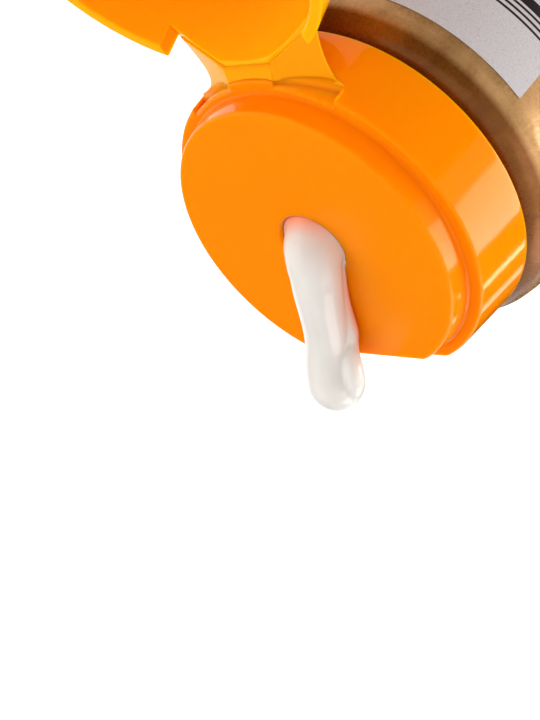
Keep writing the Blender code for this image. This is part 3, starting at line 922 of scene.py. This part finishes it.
# %% Strands of lotion
# Corners of the strands' middle lines: x, y, height over the deck and radius, in millimetres.
MAIN_STRAND = [
    (0.00, 0.00, -1.30, 3.55), (0.00, 0.00, -0.80, 3.60), (0.40, 0.08, -0.42, 3.52),
    (0.76, 0.10, -0.02, 3.42), (1.08, 0.10, 0.60, 3.10), (1.38, -0.10, 1.20, 2.82),
    (1.52, -0.65, 1.75, 2.62), (1.50, -1.60, 2.15, 2.48), (1.04, -3.12, 2.35, 2.41),
    (0.38, -5.08, 2.40, 2.30), (-0.31, -7.12, 2.40, 2.24), (-1.09, -9.16, 2.45, 2.22),
    (-1.66, -10.92, 2.70, 2.33), (-1.88, -12.54, 3.10, 2.62), (-1.76, -13.95, 3.56, 2.85),
    (-1.70, -14.62, 3.75, 2.76), (-1.66, -15.29, 3.93, 2.48), (-1.61, -15.87, 4.09, 2.03),
    (-1.58, -16.30, 4.21, 1.46), (-1.56, -16.54, 4.27, 0.91), (-1.55, -16.66, 4.31, 0.35),
]
SIDE_STRAND = [
    (2.35, -0.50, 0.20, 0.90), (2.35, -1.55, 0.55, 1.15), (2.10, -2.80, 1.00, 1.25),
    (1.55, -4.63, 1.15, 1.22), (1.02, -6.22, 1.18, 1.25), (0.60, -7.96, 1.22, 1.28),
    (0.42, -9.37, 1.35, 1.22), (0.45, -10.26, 1.70, 1.02), (0.66, -10.90, 2.22, 0.94),
    (0.90, -11.60, 2.80, 1.00), (1.02, -12.45, 3.30, 1.08), (0.98, -13.33, 3.66, 1.08),
    (0.76, -14.12, 3.92, 0.92), (0.42, -14.80, 4.10, 0.66), (0.10, -15.25, 4.20, 0.25),
]
STRAND_SIDES = 48
STEPS_BETWEEN = 4
LEVEL_FADE = 1.5 * MM
UPWARD = Vector((0, 0, 1))


def strand_places(strand):
    """A strand's middle line as smooth places with radii, in metres over the deck."""
    points = [Vector(corner) * MM for corner in strand]
    ends = [2 * points[0] - points[1]] + points + [2 * points[-1] - points[-2]]
    places = []
    for i in range(1, len(ends) - 2):
        before, here, there, after = ends[i - 1 : i + 3]
        for k in range(STEPS_BETWEEN):
            t = k / STEPS_BETWEEN
            bend = 2 * here + (there - before) * t
            bend = bend + (2 * before - 5 * here + 4 * there - after) * t**2
            places.append((bend + (3 * here - before - 3 * there + after) * t**3) / 2)
    return places + [points[-1]]


def lotion_strand(strand, ridge, level_to):
    """One strand: a circle's rim, extruded from place to place, with shallow ridges along it.

    Rings lie level in the orifice, and face along the strand from the height level_to upwards.
    """
    places = strand_places(strand)
    shape = bmesh.new()
    bmesh.ops.create_circle(shape, cap_ends=False, radius=1, segments=STRAND_SIDES)
    rim, ring = shape.edges[:], shape.verts[:]
    template = [v.co.copy() for v in ring]
    for i, place in enumerate(places):
        if i:
            grown = bmesh.ops.extrude_edge_only(shape, edges=rim)["geom"]
            rim = [e for e in grown if isinstance(e, bmesh.types.BMEdge)]
            ring = [v for v in grown if isinstance(v, bmesh.types.BMVert)]
        centre = Vector(place[:3]) + Vector((0, 0, DECK))
        ahead = Vector(places[min(i + 1, len(places) - 1)][:3]) - Vector(places[max(i - 1, 0)][:3])
        ahead.normalize()
        level = min(1, max(0, (level_to - place[2]) / LEVEL_FADE))
        ahead = ahead.lerp(UPWARD, level).normalized()
        side = ahead.cross(Vector((1, 0, 0))).normalized()
        across = side.cross(ahead)
        for corner, start in zip(ring, template):
            turn = math.atan2(start.y, start.x)
            # Four broad waves and seven finer ones run round the strand, out of step.
            swell = 1 + ridge * (math.cos(4 * turn + 0.6) + 0.5 * math.cos(7 * turn + 2.1))
            corner.co = centre + place[3] * swell * (start.x * across + start.y * side)
    bmesh.ops.holes_fill(shape, edges=[e for e in shape.edges if e.is_boundary], sides=0)
    bmesh.ops.recalc_face_normals(shape, faces=shape.faces)
    return shape


print("strands of", len(MAIN_STRAND), "and", len(SIDE_STRAND), "corners")

# %% [markdown]
# ## Running lotion
# A voxel remesh melts both strands into one skin, where a boolean would leave a hard seam, and
# smoothing softens the valley between them.

# %% Running lotion
SKIN_VOXEL = 0.13 * MM
SMOOTHING_ROUNDS = 9


def running_lotion():
    """Both strands melt into one body."""
    both = lotion_strand(MAIN_STRAND, ridge=0.010, level_to=1.4 * MM)
    fold = as_object("fold", lotion_strand(SIDE_STRAND, ridge=0.0, level_to=0))
    both.from_mesh(fold.data)
    bpy.data.objects.remove(fold, do_unlink=True)
    body = as_object("running_lotion", both, lotion)
    melt = body.modifiers.new("melt", "REMESH")
    melt.mode = "VOXEL"
    melt.voxel_size = SKIN_VOXEL
    soft = body.modifiers.new("soft", "SMOOTH")
    soft.factor = 0.5
    soft.iterations = SMOOTHING_ROUNDS
    settle(body)
    body.data.shade_smooth()
    return body


strand = running_lotion()
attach(strand, "bottle")
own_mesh(strand)
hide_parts("lotion_stream")
print("lotion", len(strand.data.polygons), "faces")

# %% [markdown]
# ## Lotion in the bottle
# What is left in the bottle is hidden by its wall, so the CAD solid is kept and only painted.

# %% Lotion in the bottle
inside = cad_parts["lotion_fill"]
inside.data.materials.clear()
inside.data.materials.append(lotion)
print("painted", inside.name)

# %% [markdown]
# ## White floor and world
# The object stands on a plain white floor in even light. A floor that is only lit looks grey in the
# picture. So it also glows, but only to the camera and in reflections, where it lights nothing. The
# world is full white where it is seen, and a little dimmer as a light. The studio's own sizes are
# in metres.

# %% White floor and world
FLOOR_RADIUS = 4
FLOOR_DROP = 0.2 * MM
FLOOR_GLOW = 0.30
WORLD_LEVEL = 0.92
WHITE = (1, 1, 1, 1)


def seen_directly(tree):
    """A socket that is 1 for what the camera sees, also in gloss and through glass."""
    rays = node(tree, "ShaderNodeLightPath")
    seen = rays.outputs["Is Camera Ray"]
    for other in ("Is Glossy Ray", "Is Transmission Ray"):
        either = node(tree, "ShaderNodeMath", {0: seen, 1: rays.outputs[other]}, operation="MAXIMUM")
        seen = either.outputs[0]
    return seen


def white_ground():
    """The floor: white paper with a glow that lights nothing."""
    shape = bmesh.new()
    bmesh.ops.create_circle(shape, cap_ends=True, radius=FLOOR_RADIUS, segments=96)
    bmesh.ops.translate(shape, verts=shape.verts, vec=(0, 0, -FLOOR_DROP))
    ground = as_object("studio_floor", shape)
    material, tree, shader, _ = finish("white_paper_floor")
    glow = node(
        tree, "ShaderNodeMath", {0: seen_directly(tree), 1: FLOOR_GLOW}, operation="MULTIPLY"
    )
    join(tree, shader, {
        "Base Color": paint("#F4F4F4"),
        "Roughness": 0.9,
        "Emission Color": WHITE,
        "Emission Strength": glow.outputs[0],
    })
    ground.data.materials.append(material)


def studio_world():
    """Even light from all round, and full white where it is seen."""
    world = bpy.data.worlds.new("studio")
    world.use_nodes = True
    bpy.context.scene.world = world
    tree = world.node_tree
    level = node(
        tree,
        "ShaderNodeMapRange",
        {"Value": seen_directly(tree), "To Min": WORLD_LEVEL, "To Max": 1.0},
    )
    join(tree, tree.nodes["Background"], {"Color": WHITE, "Strength": level.outputs["Result"]})


white_ground()
studio_world()
print("floor and world ready")

# %% [markdown]
# ## Lamps and black cards
# A large key lamp and a smaller fill light the object from both sides, at a plain level, so that no
# colour is burnt out. Neither shows in the gloss. The window box makes the large bright patch on the
# skirt, and the two slits make the streaks under it. The side panel and the low panel are seen in
# reflections only. So are the four black cards, which keep the gloss on the rest deep.


# %% Lamps and black cards
def aim(place, target):
    """The matrix of a lamp or a card that stands at a place and faces a point."""
    turn = (Vector(place) - Vector(target)).to_track_quat("Z", "Y")
    return Matrix.Translation(place) @ turn.to_matrix().to_4x4()


def softbox(name, place, target, size, radiance, seen=True, lights=True, colour=(1, 1, 1)):
    """A rectangular lamp that faces a point, at this radiance."""
    lamp = bpy.data.lights.new(name, "AREA")
    lamp.shape = "RECTANGLE"
    lamp.size, lamp.size_y = size
    lamp.energy = radiance * math.pi * size[0] * size[1]
    lamp.color = colour
    made = bpy.data.objects.new(name, lamp)
    made.matrix_world = aim(place, target)
    made.visible_camera = False
    made.visible_glossy = seen
    made.visible_diffuse = lights
    bpy.context.scene.collection.objects.link(made)


def flag(name, place, target, size):
    """A black card that keeps one side of the studio out of the glossy reflections."""
    shape = bmesh.new()
    bmesh.ops.create_grid(shape, x_segments=1, y_segments=1, size=0.5)
    bmesh.ops.scale(shape, verts=shape.verts, vec=(*size, 1))
    bmesh.ops.transform(shape, matrix=aim(place, target), verts=shape.verts)
    card = as_object(name, shape)
    material, tree, shader, _ = finish(name + "_black_velvet")
    join(tree, shader, {
        "Base Color": paint("#050505"),
        "Roughness": 1.0,
        "Specular IOR Level": 0.0,
    })
    card.data.materials.append(material)
    card.visible_camera = False
    card.visible_diffuse = False
    card.visible_shadow = False


closure_middle = Vector((0, 0, 139 * MM))
softbox("key", (-0.45, 0.30, 0.75), closure_middle, (1.0, 1.0), 1.1, seen=False)
softbox("fill", (0.35, -0.10, 0.85), closure_middle, (0.50, 0.50), 1.0, seen=False)
softbox("window", (0.1565, -0.0920, 0.034), (0.017, 0, 0.138), (0.116, 0.09), 8.6)
softbox(
    "near_slit", (0.049, -0.170, 0.0325), (0.010, -0.014, 0.138), (0.012, 0.034), 9.0,
    colour=(1, 0.93, 0.6),
)
softbox(
    "far_slit", (-0.014, -0.177, 0.0325), (0.004, -0.017, 0.138), (0.020, 0.034), 2.4,
    colour=(1, 0.9, 0.7),
)
softbox("side_panel", (0.43, -0.23, 0.268), closure_middle, (0.30, 0.40), 2.0, lights=False)
softbox(
    "low_panel", (0.168, -0.463, 0.227), closure_middle, (0.26, 0.30), 3.4, lights=False,
    colour=(1, 0.92, 0.85),
)
flag("back_flag", (0.235, 0.407, 0.309), closure_middle, (0.70, 0.60))
flag("upper_flag", (-0.43, -0.29, 0.49), closure_middle, (0.75, 0.60))
flag("right_flag", (0.26, 0.23, 0.001), (0.26, 0.23, 1), (0.50, 0.42))
flag("lower_flag", (0.02, -0.24, 0.001), (0.02, -0.24, 1), (0.34, 0.26))
bpy.context.scene.view_settings.view_transform = "Standard"
print("studio ready with", len(bpy.data.lights), "lamps")
